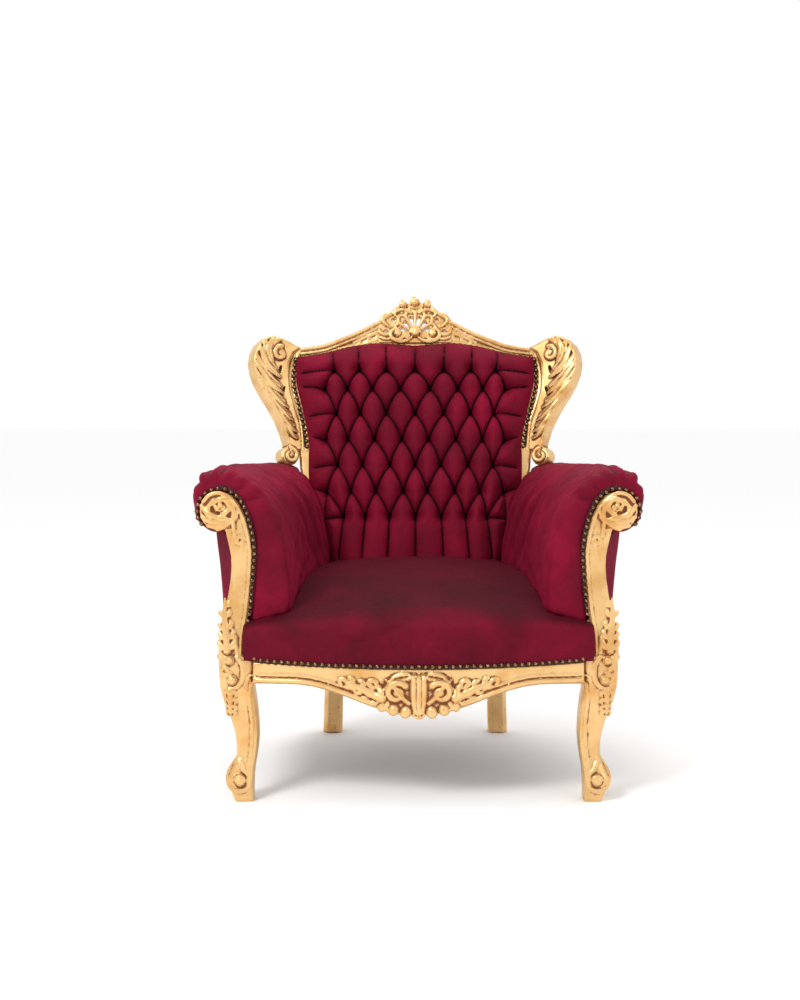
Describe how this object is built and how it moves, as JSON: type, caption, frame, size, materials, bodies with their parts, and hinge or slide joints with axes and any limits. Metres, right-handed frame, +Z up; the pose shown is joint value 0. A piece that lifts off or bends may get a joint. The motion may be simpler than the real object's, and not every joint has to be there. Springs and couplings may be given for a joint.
{
  "type": "armchair",
  "caption": "Winged armchair with a carved gilt frame, pierced shell cresting, scrolled arms and cabriole legs, fully upholstered in tufted velvet with nail trim.",
  "frame": {"origin": "centre of the bounding box in plan, on the floor plane through the soles of the feet", "axes": "+Z up, -Y the way the seat faces, +X the sitter's left"},
  "size_m": [0.9542, 0.8262, 1.1079],
  "materials": {
    "gilt": "water-gilt gold leaf over carved beech, worn to red-brown bole in the hollows",
    "beech": "planed beech, planed; the hidden frame",
    "velvet": "crimson cut-pile velvet",
    "foam": "horsehair and cotton-felt stuffing, modelled as plain pads",
    "jute": "woven jute webbing and hessian",
    "steel": "zinc-plated sinuous spring wire",
    "cambric": "black cambric dust cover",
    "bronze": "antique-bronze upholstery nails, modelled as one band per run"
  },
  "bodies": {
    "root": {"back_post_left": "gilt", "back_post_right": "gilt", "front_leg_left": "gilt", "front_leg_right": "gilt", "front_rail": "gilt", "side_rail_left": "gilt", "side_rail_right": "gilt", "arm_post_left": "gilt", "arm_post_right": "gilt", "crest_rail": "gilt", "crest_cartouche": "gilt", "wing_left": "gilt", "wing_right": "gilt", "back_rail": "beech", "front_corner_block_left": "beech", "front_corner_block_right": "beech", "back_corner_block_left": "beech", "back_corner_block_right": "beech", "arm_rail_left": "beech", "arm_rail_right": "beech", "back_tacking_rail": "beech", "seat_cover": "velvet", "back_cover": "velvet", "arm_cover_left": "velvet", "arm_cover_right": "velvet", "outside_arm_cover_left": "velvet", "outside_arm_cover_right": "velvet", "outside_back_cover": "velvet", "seat_pad": "foam", "back_pad": "foam", "arm_pad_left": "foam", "arm_pad_right": "foam", "back_webbing": "jute", "seat_hessian": "jute", "seat_spring_1": "steel", "seat_spring_2": "steel", "seat_spring_3": "steel", "seat_spring_4": "steel", "seat_spring_5": "steel", "dust_cover": "cambric", "back_nail_band": "bronze", "front_nail_band": "bronze", "arm_nail_band_left": "bronze", "arm_nail_band_right": "bronze", "side_nail_band_left": "bronze", "side_nail_band_right": "bronze"}
  },
  "joints": []
}
